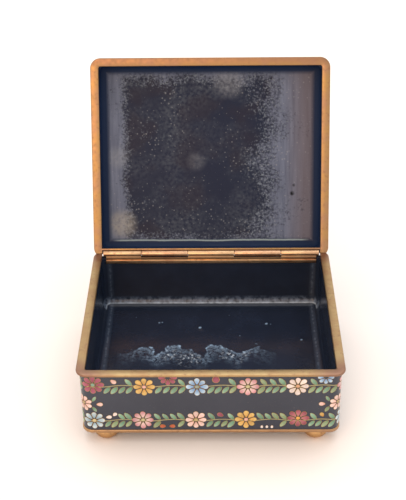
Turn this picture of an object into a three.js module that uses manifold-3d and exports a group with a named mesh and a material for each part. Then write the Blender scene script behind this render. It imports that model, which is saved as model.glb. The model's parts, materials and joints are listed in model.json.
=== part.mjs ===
// A hinged cloisonne enamel box on four bun feet, with its lid leaning open on its stop.
// Units are millimetres, +Z is up, +Y is towards the hinge at the back.
// Every piece is drawn round the centre of the body's flat underside. At the end the whole
// box is moved to stand on z = 0, with the middle of its bounding box over the origin.

import * as THREE from 'three';
import { mergeVertices } from 'three/addons/utils/BufferGeometryUtils.js';
import Module from 'manifold-3d';

const wasm = await Module();
wasm.setup();

// ---- Driving dimensions ----

const width = 115;               // over the rims, left to right
const depth = 97;                // over the rims, front to back
const hingeHeight = 33.1;        // underside to the plane where the two rims meet
const lidHeight = 12.5;          // rim plane to the lid's flat top
const openAngle = 113.2;         // degrees from closed to the stop
const meetGap = 0.15;            // each rim stays this far from the plane where they meet
const seam = 0.3;                // clearance left between neighbouring pieces

// Enamelled copper walls: metal, outer enamel and counter-enamel together.
const wall = 2.3;
const wallInset = 1.3;           // the rims overhang the walls by this much
const wallCorner = 4.6;          // plan radius of the outer corners
const cavityCorner = 4;
const floorThickness = 4;
const floorCove = 5;             // radius where the walls run into the floor
const lidRoof = 2.5;
const lidShoulder = 6;           // rounded outer edge of the lid's top
const lidCove = 3.5;

// Brass rims.
const rimWidth = 4;
const rimThickness = 1.2;
const rimCorner = 5;
const rimInnerCorner = 1.5;
const rimEdge = 0.4;             // rounding of the outer edges

// Brass band let into the bottom edge.
const bandHeight = 1.6;
const bandProud = 0.3;
const bandLet = 0.8;
const bandEdge = 0.4;

// Bun feet.
const footRadius = 5.6;
const footBulge = 4;             // half height of the bun's round side
const footWaist = 2;             // depth below the underside of the widest ring
const footPad = 2.2;             // radius of the flat that stands on the table
const footX = 46.1;
const footY = 41.4;

// Hinge: a row of knuckles on one pin, with a leaf to each half.
const axisInset = 2.25;          // pin axis to the outer back edge
const knuckleRadius = 1.45;
const boreRadius = 0.72;
const pinRadius = 0.65;
const knuckleJoints = [-34.2, -11.4, 11.4, 34.2];
const hingeHalf = 52.8;          // half the length of the knuckle row
const jointGap = 0.25;
const leafHalf = 51.5;
const lipReach = 2.45;           // axis to the inner face of the strips beside the row
const stripThickness = 0.8;
const stripTop = 2.6;            // the body leaf's strip, measured down from the axis
const stripBottom = 4.3;
const tabBack = 0.6;             // the tabs' hidden face, measured from the axis
const tabRoot = 0.8;             // where the tabs leave the knuckles
const tabFrontRoot = 1.15;
const tabSlant = 1;              // height of the slanted part of a body tab
const lidLeafTop = 3.8;          // how far the lid's leaf reaches into the lid wall
const lidLeafRoot = 1.8;

// Fineness of the round forms.
const cornerSteps = 7;
const coveSteps = 6;
const edgeSteps = 3;
const barrelSides = 24;
const footSides = 32;
const footSteps = 8;

// ---- Values that follow ----

const axisY = depth / 2 - axisInset;
const wallWidth = width - 2 * wallInset;
const wallDepth = depth - 2 * wallInset;
const bodyRimTop = hingeHeight - meetGap;
const bodyRimBottom = bodyRimTop - rimThickness;
const lidRimBottom = hingeHeight + meetGap;
const lidRimTop = lidRimBottom + rimThickness;
const lidTop = hingeHeight + lidHeight;
const slotHalf = width / 2 - rimWidth;      // the rims are open this far either side
const wallFace = axisInset - wallInset - wall;   // inner face of the back wall, from the axis
const pocketBack = tabBack - seam;          // back of the pockets cut for the leaves
const pocketHalf = leafHalf + seam;
const rimClearance = knuckleRadius + meetGap;
const wallClearance = knuckleRadius + seam;
const beyond = 6;                // how far cutting tools run past what they cut

// ---- Building blocks ----

// Points of a rounded rectangle, the same number for every size.
function roundedRectangle(across, along, radius) {
  const points = [];
  const corners = [[1, 1], [-1, 1], [-1, -1], [1, -1]];
  corners.forEach(([sideX, sideY], corner) => {
    const centreX = sideX * (across / 2 - radius);
    const centreY = sideY * (along / 2 - radius);
    for (let step = 0; step <= cornerSteps; step += 1) {
      const angle = (Math.PI / 2) * (corner + step / cornerSteps);
      points.push([centreX + radius * Math.cos(angle), centreY + radius * Math.sin(angle)]);
    }
  });
  return points;
}

// A closed solid through rounded-rectangle levels, listed from the bottom up.
// A level's inset shrinks the plan and its corner radius together.
function stack(across, along, corner, levels) {
  const smallestCorner = 0.8;
  const positions = [];
  const faces = [];
  const outlines = levels.map(({ inset }) => {
    const radius = Math.max(corner - inset, smallestCorner);
    return roundedRectangle(across - 2 * inset, along - 2 * inset, radius);
  });
  outlines.forEach((outline, level) => {
    outline.forEach(([x, y]) => positions.push(x, y, levels[level].z));
  });
  const count = outlines[0].length;
  const bottomCentre = outlines.length * count;
  const topCentre = bottomCentre + 1;
  const topRing = bottomCentre - count;
  positions.push(0, 0, levels[0].z);
  positions.push(0, 0, levels[levels.length - 1].z);
  for (let i = 0; i < count; i += 1) {
    const next = (i + 1) % count;
    faces.push(bottomCentre, next, i);
    faces.push(topCentre, topRing + i, topRing + next);
    for (let low = 0; low < topRing; low += count) {
      const high = low + count;
      faces.push(low + i, low + next, high + next);
      faces.push(low + i, high + next, high + i);
    }
  }
  const geometry = new THREE.BufferGeometry();
  geometry.setAttribute('position', new THREE.Float32BufferAttribute(positions, 3));
  geometry.setIndex(faces);
  return geometry;
}

// Levels of a quarter-round that widens going up from z, such as a dished floor's edge.
function widening(z, radius, steps) {
  const levels = [];
  for (let step = 0; step <= steps; step += 1) {
    const angle = (Math.PI / 2) * (step / steps);
    const inset = radius * (1 - Math.sin(angle));
    levels.push({ inset, z: z + radius * (1 - Math.cos(angle)) });
  }
  return levels;
}

// The same quarter-round turned over, so that it narrows going up to z.
function narrowing(z, radius, steps) {
  const upright = widening(0, radius, steps);
  return upright.map((level) => ({ inset: level.inset, z: z - level.z })).reverse();
}

// The plate that a rim or band is cut from, with its outer edges rounded.
function roundEdgedPlate(across, along, corner, bottom, top, edge) {
  return stack(across, along, corner, [
    ...widening(bottom, edge, edgeSteps),
    ...narrowing(top, edge, edgeSteps),
  ]);
}

function straightBlock(across, along, corner, bottom, top) {
  return stack(across, along, corner, [{ inset: 0, z: bottom }, { inset: 0, z: top }]);
}

// A round bar on the hinge axis between two places along X.
function barrel(from, to, radius) {
  const geometry = new THREE.CylinderGeometry(radius, radius, to - from, barrelSides);
  geometry.rotateZ(Math.PI / 2);
  geometry.translate((from + to) / 2, axisY, hingeHeight);
  return geometry;
}

// A bar along X whose outline is drawn round the hinge axis: [backwards, away from the
// plane where the rims meet]. Side is 1 in the lid and -1 in the body.
function alongHinge(side, from, to, points) {
  const outline = new THREE.Shape(points.map(([back, away]) => new THREE.Vector2(back, side * away)));
  const geometry = new THREE.ExtrudeGeometry(outline, { depth: to - from, bevelEnabled: false });
  const backwards = new THREE.Vector3(0, 1, 0);
  const up = new THREE.Vector3(0, 0, 1);
  const across = new THREE.Vector3(1, 0, 0);
  geometry.applyMatrix4(new THREE.Matrix4().makeBasis(backwards, up, across));
  geometry.translate(from, axisY, hingeHeight);
  return geometry;
}

function hingeBlock(side, from, to, back0, back1, away0, away1) {
  return alongHinge(side, from, to, [[back0, away0], [back1, away0], [back1, away1], [back0, away1]]);
}

function toSolid(geometry) {
  const bare = geometry.clone();
  bare.deleteAttribute('normal');
  bare.deleteAttribute('uv');
  const merged = mergeVertices(bare, 1e-5);
  const vertProperties = new Float32Array(merged.attributes.position.array);
  const triVerts = new Uint32Array(merged.index.array);
  return new wasm.Manifold(new wasm.Mesh({ numProp: 3, vertProperties, triVerts }));
}

function joined(geometries) {
  return geometries.map(toSolid).reduce((sum, piece) => sum.add(piece));
}

function carved(solid, tools) {
  return tools.map(toSolid).reduce((rest, tool) => rest.subtract(tool), solid);
}

function toGeometry(solid) {
  const mesh = solid.getMesh();
  const geometry = new THREE.BufferGeometry();
  geometry.setAttribute('position', new THREE.Float32BufferAttribute(mesh.vertProperties, 3));
  geometry.setIndex(Array.from(mesh.triVerts));
  geometry.computeVertexNormals();
  return geometry;
}

// ---- Room for the hinge, the same in the body and mirrored in the lid ----

// What lies behind a slanted plane through the axis. Closed, the two planes leave a groove
// along the back; open, they face each other and stop the lid.
function backBevel(side) {
  const slope = THREE.MathUtils.degToRad(openAngle / 2);
  const reach = 12;
  const startBack = -meetGap * Math.sin(slope);
  const startAway = meetGap * Math.cos(slope);
  const endBack = startBack + reach * Math.cos(slope);
  const endAway = startAway + reach * Math.sin(slope);
  const outline = [[startBack, startAway], [endBack, endAway], [endBack, -beyond], [startBack, -beyond]];
  return alongHinge(side, -width, width, outline);
}

// A pocket in the top edge of the back wall that the hinge leaf lies in.
function leafPocketTool(side, deep) {
  return hingeBlock(side, -pocketHalf, pocketHalf, wallFace - beyond, -pocketBack, -beyond, deep);
}

function knuckleGroove(radius) {
  return barrel(-slotHalf, slotHalf, radius);
}

// ---- The body ----

function bodyShell() {
  const letIn = bandLet + seam;
  const top = bodyRimBottom - seam;
  const edgeTop = bandHeight + seam;
  const outside = joined([
    straightBlock(wallWidth, wallDepth, wallCorner, edgeTop, top),
    straightBlock(wallWidth - 2 * letIn, wallDepth - 2 * letIn, wallCorner - letIn, 0, floorThickness),
  ]);
  const inside = stack(wallWidth - 2 * wall, wallDepth - 2 * wall, cavityCorner, [
    ...widening(floorThickness, floorCove, coveSteps),
    { inset: 0, z: top + beyond },
  ]);
  const pocket = leafPocketTool(-1, stripTop + 2 * seam);
  return carved(outside, [inside, pocket, knuckleGroove(wallClearance), backBevel(-1)]);
}

function bodyRim() {
  const plate = roundEdgedPlate(width, depth, rimCorner, bodyRimBottom, bodyRimTop, rimEdge);
  const opening = straightBlock(
    width - 2 * rimWidth,
    depth - 2 * rimWidth,
    rimInnerCorner,
    bodyRimBottom - beyond,
    bodyRimTop + beyond,
  );
  const behind = axisInset + beyond;
  const hingeRoom = hingeBlock(-1, -slotHalf, slotHalf, -lipReach, behind, -beyond, beyond);
  return carved(toSolid(plate), [opening, hingeRoom, backBevel(-1)]);
}

function baseBand() {
  const across = wallWidth + 2 * bandProud;
  const along = wallDepth + 2 * bandProud;
  const corner = wallCorner + bandProud;
  const plate = roundEdgedPlate(across, along, corner, 0, bandHeight, bandEdge);
  const opening = straightBlock(
    wallWidth - 2 * bandLet,
    wallDepth - 2 * bandLet,
    wallCorner - bandLet,
    -beyond,
    bandHeight + beyond,
  );
  return carved(toSolid(plate), [opening]);
}

function bunFoot() {
  const neckAngle = Math.asin((footWaist - seam) / footBulge);
  const padAngle = -Math.acos(footPad / footRadius);
  const profile = [];
  for (let step = 0; step <= footSteps; step += 1) {
    const angle = THREE.MathUtils.lerp(neckAngle, padAngle, step / footSteps);
    profile.push([footRadius * Math.cos(angle), footBulge * Math.sin(angle) - footWaist]);
  }
  const top = profile[0][1];
  const bottom = profile[footSteps][1];
  const outline = [[0, top], ...profile, [0, bottom]].reverse();
  const points = outline.map(([radius, height]) => new THREE.Vector2(radius, height));
  const geometry = new THREE.LatheGeometry(points, footSides);
  geometry.rotateX(Math.PI / 2);
  return geometry;
}

// ---- The lid, drawn closed ----

function lidShell() {
  const bottom = lidRimTop + seam;
  const outside = stack(wallWidth, wallDepth, wallCorner, [
    { inset: 0, z: bottom },
    ...narrowing(lidTop, lidShoulder, coveSteps + 2),
  ]);
  const inside = stack(wallWidth - 2 * wall, wallDepth - 2 * wall, cavityCorner, [
    { inset: 0, z: bottom - beyond },
    ...narrowing(lidTop - lidRoof, lidCove, coveSteps),
  ]);
  const pocket = leafPocketTool(1, lidLeafTop + seam);
  return carved(toSolid(outside), [inside, pocket, knuckleGroove(wallClearance), backBevel(1)]);
}

function lidRim() {
  const plate = roundEdgedPlate(width, depth, rimCorner, lidRimBottom, lidRimTop, rimEdge);
  const backEdge = axisY - lipReach;
  const frontEdge = rimWidth - depth / 2;
  const opening = straightBlock(
    width - 2 * rimWidth,
    backEdge - frontEdge,
    rimInnerCorner,
    lidRimBottom - beyond,
    lidRimTop + beyond,
  );
  opening.translate(0, (backEdge + frontEdge) / 2, 0);
  const behind = axisInset + beyond;
  const hingeRoom = hingeBlock(1, -slotHalf, slotHalf, -rimClearance, behind, -beyond, beyond);
  return carved(toSolid(plate), [opening, hingeRoom, backBevel(1)]);
}

// ---- The hinge ----

// The knuckles are numbered from the left; even ones belong to the body, odd to the lid.
function knuckleSpans(first) {
  const ends = [-hingeHalf, ...knuckleJoints, hingeHalf];
  const spans = [];
  for (let knuckle = first; knuckle < ends.length - 1; knuckle += 2) {
    const from = knuckle === 0 ? ends[0] : ends[knuckle] + jointGap / 2;
    const to = knuckle === ends.length - 2 ? ends[knuckle + 1] : ends[knuckle + 1] - jointGap / 2;
    spans.push([from, to]);
  }
  return spans;
}

function hingeHalfWith(side, spans, leaf, tabOutline) {
  const pieces = [leaf];
  for (const [from, to] of spans) {
    pieces.push(barrel(from, to, knuckleRadius));
    pieces.push(alongHinge(side, Math.max(from, -leafHalf), Math.min(to, leafHalf), tabOutline));
  }
  return carved(joined(pieces), [barrel(-width, width, boreRadius)]);
}

// A strip down the inside of the back wall, with tabs rising to the body's knuckles.
function bodyHingeLeaf() {
  const stripBack = stripThickness - lipReach;
  const strip = hingeBlock(-1, -leafHalf, leafHalf, -lipReach, stripBack, stripTop, stripBottom);
  const tabFront = stripBack - seam;
  const tab = [
    [-tabBack, tabRoot],
    [-tabBack, stripTop + seam],
    [tabFront, stripTop + seam],
    [tabFront, stripTop - tabSlant],
    [-tabFrontRoot, tabRoot],
  ];
  return hingeHalfWith(-1, knuckleSpans(0), strip, tab);
}

// A leaf let into the lid's back wall, with tabs to the lid's knuckles.
function lidHingeLeaf() {
  const leaf = hingeBlock(1, -leafHalf, leafHalf, wallFace, -tabBack, lidLeafRoot, lidLeafTop);
  const tab = [
    [-tabBack, tabRoot],
    [-tabBack, lidLeafRoot + seam],
    [wallFace, lidLeafRoot + seam],
    [-tabFrontRoot, tabRoot],
  ];
  return hingeHalfWith(1, knuckleSpans(1), leaf, tab);
}

function hingePin() {
  return barrel(-hingeHalf, hingeHalf, pinRadius);
}

// ---- The box, piece by piece ----

const blackEnamel = new THREE.MeshStandardMaterial({ color: '#23262c', roughness: 0.15, metalness: 0 });
const brass = new THREE.MeshStandardMaterial({ color: '#c9955a', roughness: 0.35, metalness: 0.9 });
const brightBrass = new THREE.MeshStandardMaterial({ color: '#e0b070', roughness: 0.3, metalness: 0.9 });

function piece(name, geometry, material) {
  const mesh = new THREE.Mesh(geometry, material);
  mesh.name = name;
  return mesh;
}

const enamelBox = new THREE.Group();

enamelBox.add(piece('body_shell', toGeometry(bodyShell()), blackEnamel));
enamelBox.add(piece('body_rim', toGeometry(bodyRim()), brass));
enamelBox.add(piece('base_band', toGeometry(baseBand()), brass));
enamelBox.add(piece('hinge_body_leaf', toGeometry(bodyHingeLeaf()), brightBrass));
enamelBox.add(piece('hinge_pin', hingePin(), brightBrass));

for (const [endName, sideY] of [['front', -1], ['back', 1]]) {
  for (const [sideName, sideX] of [['left', -1], ['right', 1]]) {
    const foot = piece(`foot_${endName}_${sideName}`, bunFoot(), brass);
    foot.position.set(sideX * footX, sideY * footY, 0);
    enamelBox.add(foot);
  }
}

// The lid's pieces are drawn closed, then turned back about the hinge axis.
const lid = new THREE.Group();
lid.position.set(0, axisY, hingeHeight);
lid.rotation.x = -THREE.MathUtils.degToRad(openAngle);
const lidPieces = [
  piece('lid_shell', toGeometry(lidShell()), blackEnamel),
  piece('lid_rim', toGeometry(lidRim()), brass),
  piece('hinge_lid_leaf', toGeometry(lidHingeLeaf()), brightBrass),
];
for (const lidPiece of lidPieces) {
  lidPiece.position.set(0, -axisY, -hingeHeight);
  lid.add(lidPiece);
}
enamelBox.add(lid);

const extent = new THREE.Box3().setFromObject(enamelBox, true);
const middle = extent.getCenter(new THREE.Vector3());
enamelBox.position.set(-middle.x, -middle.y, -extent.min.z);

export default enamelBox;
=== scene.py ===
# %% [markdown]
# # A cloisonne enamel box with its lid open
#
# The real box is sheet copper with glass fused on both faces. On the outside, flat wires
# stand on edge between the colours, and the whole surface is ground level and polished.
# Brass rims, a brass band, bun feet and a knuckle hinge finish it. This lesson dresses the
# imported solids: smooth enamel, the garland cell by cell, and worn metal.
#
# Everything is drawn closed, in millimetres, round the middle of the underside. One matrix
# takes the body's pieces to their place, and another also turns the lid's pieces open.

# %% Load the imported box
import json
import math
import random
from functools import partial

import bmesh
import bpy
from mathutils import Matrix, Vector, noise


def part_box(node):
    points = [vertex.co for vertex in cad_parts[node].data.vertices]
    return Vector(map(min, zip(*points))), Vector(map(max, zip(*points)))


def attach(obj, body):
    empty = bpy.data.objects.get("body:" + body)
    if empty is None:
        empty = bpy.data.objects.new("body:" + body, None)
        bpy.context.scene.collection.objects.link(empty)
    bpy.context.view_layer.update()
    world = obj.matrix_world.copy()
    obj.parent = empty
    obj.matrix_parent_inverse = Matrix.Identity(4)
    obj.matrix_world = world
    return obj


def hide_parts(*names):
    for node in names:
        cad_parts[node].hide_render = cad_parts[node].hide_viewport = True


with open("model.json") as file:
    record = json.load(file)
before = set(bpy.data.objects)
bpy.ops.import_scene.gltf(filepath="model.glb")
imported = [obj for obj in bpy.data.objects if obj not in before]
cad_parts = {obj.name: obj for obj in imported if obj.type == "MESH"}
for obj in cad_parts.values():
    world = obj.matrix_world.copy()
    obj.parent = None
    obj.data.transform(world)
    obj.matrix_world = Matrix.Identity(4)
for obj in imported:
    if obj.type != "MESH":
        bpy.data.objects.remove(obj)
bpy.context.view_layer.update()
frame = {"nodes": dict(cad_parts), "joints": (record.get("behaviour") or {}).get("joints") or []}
print("CAD nodes:", ", ".join(sorted(frame["nodes"])))

# %% Where the box stands and where its hinge is
MM = 0.001
lowest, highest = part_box("body_shell")
underside = Vector(((lowest.x + highest.x) / 2, (lowest.y + highest.y) / 2, lowest.z))
joint = frame["joints"][0]
hinge = Vector(joint["pos_m"])
open_angle = math.radians(joint["range_deg"][1])
print("underside at", underside, "and hinge at", hinge)

# %% From closed millimetres to the open box
opening = Matrix.Rotation(-open_angle, 4, "X")
swing = Matrix.Translation(hinge) @ opening @ Matrix.Translation(-hinge)
to_body = Matrix.Translation(underside) @ Matrix.Scale(MM, 4)
PLACES = {"box": to_body, "lid": swing @ to_body}
axis_y, axis_z = ((hinge - underside) / MM).yz
print(f"hinge axis {axis_y:.2f} mm behind the middle and {axis_z:.2f} mm up")

# %% Sizes measured on the solids, in millimetres
def size_of(solid):
    low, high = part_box(solid)
    return (high - low) / MM


RIM_ACROSS = size_of("body_rim").x
RIM_ALONG = 2 * (underside.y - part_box("body_rim")[0].y) / MM
WALL_ACROSS = size_of("body_shell").x
WALL_ALONG = 2 * (underside.y - lowest.y) / MM
BAND_ACROSS, BAND_ALONG, BAND_TOP = size_of("base_band")
BODY_RIM_TOP = (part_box("body_rim")[1].z - underside.z) / MM
RIM_THICKNESS = size_of("body_rim").z
BODY_RIM_BOTTOM = BODY_RIM_TOP - RIM_THICKNESS
LID_RIM_BOTTOM = 2 * axis_z - BODY_RIM_TOP
LID_RIM_TOP = LID_RIM_BOTTOM + RIM_THICKNESS
print(f"rims {RIM_ACROSS:.1f} by {RIM_ALONG:.1f}, walls {WALL_ACROSS:.1f} by {WALL_ALONG:.1f}")

# %% Sizes shared with the solids' drawing, in millimetres
LID_TOP = axis_z + 12.5
WALL = 2.3  # metal and both coats of enamel
WALL_CORNER = 4.6
INSIDE_CORNER = 4.0
FLOOR = 4.0
FLOOR_COVE = 5.0
LID_SHOULDER = 6.0
LID_COVE = 3.5
LID_ROOF = 2.5
RIM_WIDTH = 4.0
RIM_CORNER = 5.0
KNUCKLE = 1.45  # radius
TURNING_ROOM = 0.3  # round a knuckle
SLOT_HALF = RIM_ACROSS / 2 - RIM_WIDTH
LIP_REACH = 2.45  # hinge axis to the inner face of the strips beside it

# %% [markdown]
# ## Helpers for modelling
#
# Most of the box is one shape seen at many sizes: a rectangle with round corners. It starts
# as a grid of one face, and a vertex bevel rounds the corners. Lifting that face with
# extrude and resizing it at each step gives walls, coves and shoulders, as a potter raises
# a pot ring by ring. Rims are the same face with its middle taken out.

# %% Parts and measures of a shape
def everything(shape):
    return shape.verts[:] + shape.edges[:] + shape.faces[:]


def only(kind, parts):
    """kind is Vert, Edge or Face."""
    return [part for part in parts if isinstance(part, getattr(bmesh.types, "BM" + kind))]


def extent(part, axis):
    """The lowest and the highest place of a face or a shape along one axis."""
    places = [corner.co[axis] for corner in part.verts]
    return min(places), max(places)


def span(part, axis):
    low, high = extent(part, axis)
    return high - low


# %% A flat rounded rectangle, as one face
CORNER_STEPS = 16


def rounded_face(shape, across, along, corner, height):
    made = bmesh.ops.create_grid(shape, x_segments=1, y_segments=1, size=0.5)
    bmesh.ops.scale(shape, vec=(across, along, 1), verts=made["verts"])
    bmesh.ops.translate(shape, vec=(0, 0, height), verts=made["verts"])
    bmesh.ops.bevel(
        shape, geom=made["verts"], offset=corner, offset_type="OFFSET",
        segments=CORNER_STEPS, profile=0.5, affect="VERTICES", material=-1,
    )
    shape.faces.ensure_lookup_table()
    return shape.faces[-1]


# %% Raise a face to the next level
SMALLEST_CORNER = 0.8


def raised(shape, face, across, along, height, corner=None):
    """Extrudes the face and offsets its outline, so that the corners stay concentric."""
    made = bmesh.ops.extrude_face_region(shape, geom=[face, *face.edges, *face.verts])
    top = only("Face", made["geom"])[0]
    halves = (span(top, 0) / 2, span(top, 1) / 2)
    ends = [abs(point.co.x) for point in top.verts if abs(point.co.y) > halves[1] - 1e-4]
    radius = halves[0] - max(ends)
    target = corner or max(radius + across / 2 - halves[0], SMALLEST_CORNER)
    for point in top.verts:
        for axis, wanted in ((0, across / 2), (1, along / 2)):
            side = math.copysign(1, point.co[axis])
            turn = (abs(point.co[axis]) - halves[axis] + radius) / radius
            point.co[axis] = side * (wanted - target + target * turn)
        point.co.z = height
    return top


def rounded_in(shape, face, across, along, height, radius, steps, way):
    """Raises the face round a quarter circle, inwards and up, or down where way is -1."""
    for step in range(1, steps + 1):
        turn = math.pi / 2 * step / steps
        inwards = radius * (1 - math.cos(turn))
        rise = way * radius * math.sin(turn)
        face = raised(shape, face, across - 2 * inwards, along - 2 * inwards, height + rise)
    return face


# %% Give a flat shape thickness
def thicken(shape, way):
    made = bmesh.ops.extrude_face_region(shape, geom=shape.faces[:])
    bmesh.ops.translate(shape, vec=way, verts=only("Vert", made["geom"]))
    bmesh.ops.recalc_face_normals(shape, faces=shape.faces)


# %% Round the sharp edges
SHARP_ABOVE = math.radians(50)


def round_edges(shape, radius, segments=3):
    sharp = [
        edge for edge in shape.edges
        if edge.is_manifold and edge.calc_face_angle() > SHARP_ABOVE
    ]
    bmesh.ops.bevel(
        shape, geom=sharp, offset=radius, offset_type="OFFSET", segments=segments,
        profile=0.5, affect="EDGES", material=-1, clamp_overlap=True,
    )


# %% A ring, from the rounded rectangle
def inset(shape, face, width):
    return bmesh.ops.inset_region(
        shape, faces=[face], thickness=width, use_even_offset=True, use_boundary=True
    )["faces"]


def ring(across, along, corner, width, low, high, rounding):
    shape = bmesh.new()
    face = rounded_face(shape, across, along, corner, low)
    inset(shape, face, width)
    bmesh.ops.delete(shape, geom=[face], context="FACES")
    thicken(shape, (0, 0, high - low))
    round_edges(shape, rounding)
    return shape


# %% Cut off what lies beyond a plane
def slice_off(shape, point, normal):
    cut = bmesh.ops.bisect_plane(
        shape, geom=everything(shape), dist=1e-5, plane_co=point, plane_no=normal,
        clear_outer=True,
    )
    bmesh.ops.holes_fill(shape, edges=only("Edge", cut["geom_cut"]), sides=0)


# %% The slanted back edges that stop the lid
STOP_SLOPE = open_angle / 2
MEET_GAP = axis_z - BODY_RIM_TOP


def cut_back_edge(shape, side):
    """side is -1 for the body and 1 for the lid."""
    back, up = math.sin(STOP_SLOPE), -side * math.cos(STOP_SLOPE)
    slice_off(shape, (0, axis_y - MEET_GAP * back, axis_z - MEET_GAP * up), (0, back, up))


# %% From shapes to meshes and objects
def as_mesh(shape, *materials):
    bmesh.ops.recalc_face_normals(shape, faces=shape.faces)
    mesh = bpy.data.meshes.new("mesh")
    for material in materials:
        mesh.materials.append(material)
    shape.to_mesh(mesh)
    shape.free()
    return mesh


def absorb(whole, shape):
    """Adds one shape to another, by way of a mesh."""
    mesh = as_mesh(shape)
    whole.from_mesh(mesh)
    bpy.data.meshes.remove(mesh)


def joined(shapes, material):
    whole = bmesh.new()
    for shape in shapes:
        absorb(whole, shape)
    return as_mesh(whole, material)


def placed(name, data):
    data.name = name
    thing = bpy.data.objects.new(name, data)
    bpy.context.scene.collection.objects.link(thing)
    return thing


# %% A block, to add or to cut with
def block(low, high):
    shape = bmesh.new()
    low, high = Vector(low), Vector(high)
    bmesh.ops.create_cube(shape, size=1)
    bmesh.ops.scale(shape, vec=high - low, verts=shape.verts)
    bmesh.ops.translate(shape, vec=(high + low) / 2, verts=shape.verts)
    return shape


def carved(mesh, low, high):
    """The mesh with a block cut out of it, by a Boolean modifier that is then applied."""
    cutter = placed("cutter", as_mesh(block(low, high)))
    whole = placed("whole", mesh)
    cut = whole.modifiers.new("cut", "BOOLEAN")
    cut.operation, cut.solver, cut.object = "DIFFERENCE", "EXACT", cutter
    seen = bpy.context.evaluated_depsgraph_get()
    result = bpy.data.meshes.new_from_object(whole.evaluated_get(seen))
    for helper in (cutter, whole):
        bpy.data.objects.remove(helper)
    return result


# %% Turn a finished mesh into a piece of the box
SMOOTH_BELOW = math.radians(35)


def piece(name, mesh, body, stands_for=()):
    mesh.transform(PLACES[body])
    mesh.shade_smooth()
    mesh.set_sharp_from_angle(angle=SMOOTH_BELOW)
    thing = placed(name, mesh)
    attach(thing, body)
    if stands_for:
        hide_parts(*stands_for)
    mesh.calc_loop_triangles()
    print(f"{name}: {len(mesh.loop_triangles)} triangles")


# %% [markdown]
# ## Helpers for materials
#
# Colours are written as sRGB hex values, as a paint chart gives them, and Blender works in
# linear light, so one function converts them. One more function adds a node, gives it its
# settings, and links its inputs. Every pattern reads Object coordinates. A Mapping node of
# the Texture type undoes the piece's own place, so patterns are drawn in the closed box's
# millimetres, on the open lid too.

# %% Colours
def linear(hex_code):
    shades = [int(hex_code[place:place + 2], 16) / 255 for place in (1, 3, 5)]
    light = [s / 12.92 if s <= 0.04045 else ((s + 0.055) / 1.055) ** 2.4 for s in shades]
    return (*light, 1.0)


print("mid grey #808080 is", round(linear("#808080")[0], 3), "in linear light")


# %% One function for every node
def add(tree, kind, *values, named=None, **settings):
    """kind is the node's type, and after a dot its operation or data type. The values fill
    the node's live inputs in their order, and named ones go by the input's name. A value is
    a number, a tuple, a hex colour, an output, or a node, whose first live output is then
    meant."""
    kind, _, work = kind.partition(".")
    node = tree.nodes.new("ShaderNode" + kind)
    if work:
        setattr(node, "data_type" if kind == "Mix" else "operation", work)
    for name, setting in settings.items():
        setattr(node, name, setting)
    live = [socket for socket in node.inputs if socket.enabled]
    pairs = list(zip(live, values))
    pairs += [(node.inputs[name], value) for name, value in (named or {}).items()]
    for socket, value in pairs:
        if isinstance(value, bpy.types.Node):
            value = next(output for output in value.outputs if output.enabled)
        if isinstance(value, bpy.types.NodeSocket):
            tree.links.new(value, socket)
        else:
            socket.default_value = linear(value) if isinstance(value, str) else value
    return node


# Short names for the kinds that are used most.
NOISE, RANGE, MIX = "TexNoise", "MapRange", "Mix.RGBA"
TIMES, TIMES_PLUS, MINUS = "Math.MULTIPLY", "Math.MULTIPLY_ADD", "Math.SUBTRACT"
MOST, ABS, DISTANCE = "Math.MAXIMUM", "Math.ABSOLUTE", "VectorMath.DISTANCE"


# %% Start a material and finish it
def new_material(name, body):
    """The material, the function that adds its nodes, and the closed box's millimetres."""
    material = bpy.data.materials.new(name)
    material.use_nodes = True
    material.node_tree.nodes.clear()
    node = partial(add, material.node_tree)
    place = PLACES[body]
    closed = node(
        "Mapping", node("TexCoord").outputs["Object"], place.translation, place.to_euler(),
        (MM, MM, MM), vector_type="TEXTURE",
    )
    return material, node, closed


def surface(node, bump, sockets):
    if bump:
        sockets["Normal"] = bump
    node("OutputMaterial", node("BsdfPrincipled", named=sockets))


# %% [markdown]
# ## Black glazed ground
#
# Opaque black enamel is lead glass with cobalt and manganese oxide, sifted on as powder,
# fused in the kiln, ground level with stones and polished with charcoal. The eye sees a
# deep charcoal with a soft gloss, a faint unevenness left by the stone, and pinholes where
# gas escaped. Principled with a glass IOR and a low roughness gives that.

# %% The ground's material
def ground_enamel(name, body):
    material, node, closed = new_material(name, body)
    tone = node(MIX, node(NOISE, closed, 1 / 14, 3), "#232836", "#303644")
    spots = node(RANGE, node(NOISE, closed, 1 / 0.5, 1), 0.74, 0.8, 0, 0.6)
    speckled = node(MIX, spots, tone, "#77736d")
    ripple = node(NOISE, closed, 1 / 5, 2)
    bump = node("Bump", named={"Strength": 0.35, "Distance": 0.05 * MM, "Height": ripple})
    surface(node, bump, {"Base Color": speckled, "Roughness": 0.2, "IOR": 1.52})
    return material


ground_on_body = ground_enamel("black_glass_enamel_body", "box")
ground_on_lid = ground_enamel("black_glass_enamel_lid", "lid")
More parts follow.
